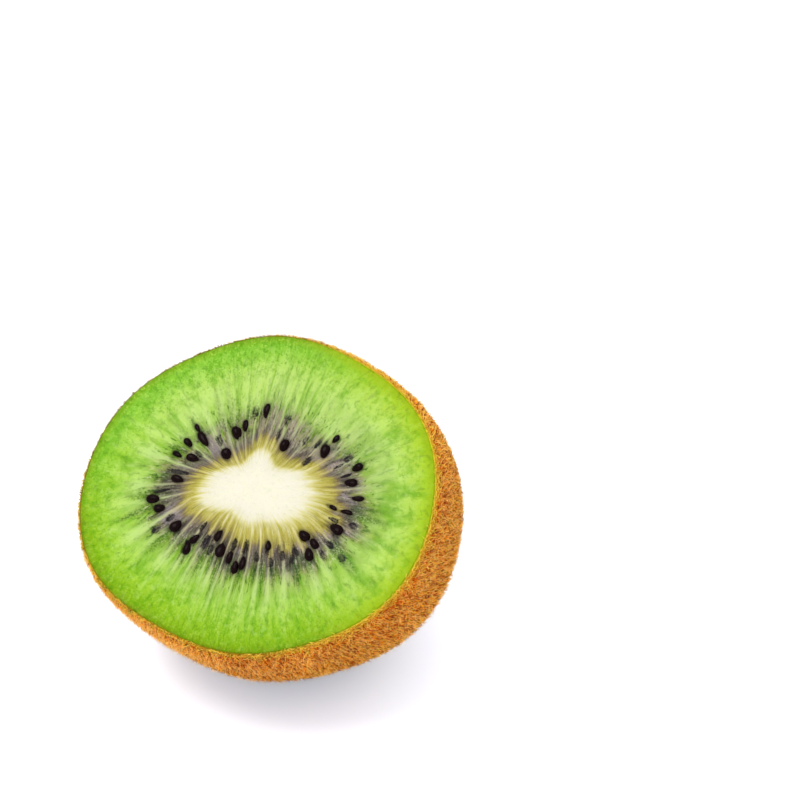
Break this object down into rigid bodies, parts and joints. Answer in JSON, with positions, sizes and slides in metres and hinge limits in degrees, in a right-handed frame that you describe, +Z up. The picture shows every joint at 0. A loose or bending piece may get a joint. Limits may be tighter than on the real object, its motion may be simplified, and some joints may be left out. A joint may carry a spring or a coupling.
{
  "type": "kiwi fruit half",
  "caption": "Half of a kiwi fruit cut across, lying back on its fuzzy brown skin with the green cut face up, a pale core and a ring of dark seeds.",
  "frame": {"origin": "middle of the small flat spot on the skin that the half rests on", "axes": "+Z up; -Y is the side that the cut face leans back from, so the cut face looks towards -Y and 52 degrees up; +X across the cut face, to its right as seen from the front"},
  "size_m": [0.055, 0.0514, 0.0496],
  "materials": {
    "flesh": "moist green fruit flesh with a soft sheen, lighter fibres running outward from a cream core",
    "core": "dense, moist cream-white core, a little translucent at its edge",
    "seed": "smooth, wet, near-black seeds with small highlights",
    "skin": "thin, dry brown skin covered in short stiff golden-brown hairs"
  },
  "bodies": {
    "root": {"kiwi_half": "flesh"}
  },
  "joints": []
}
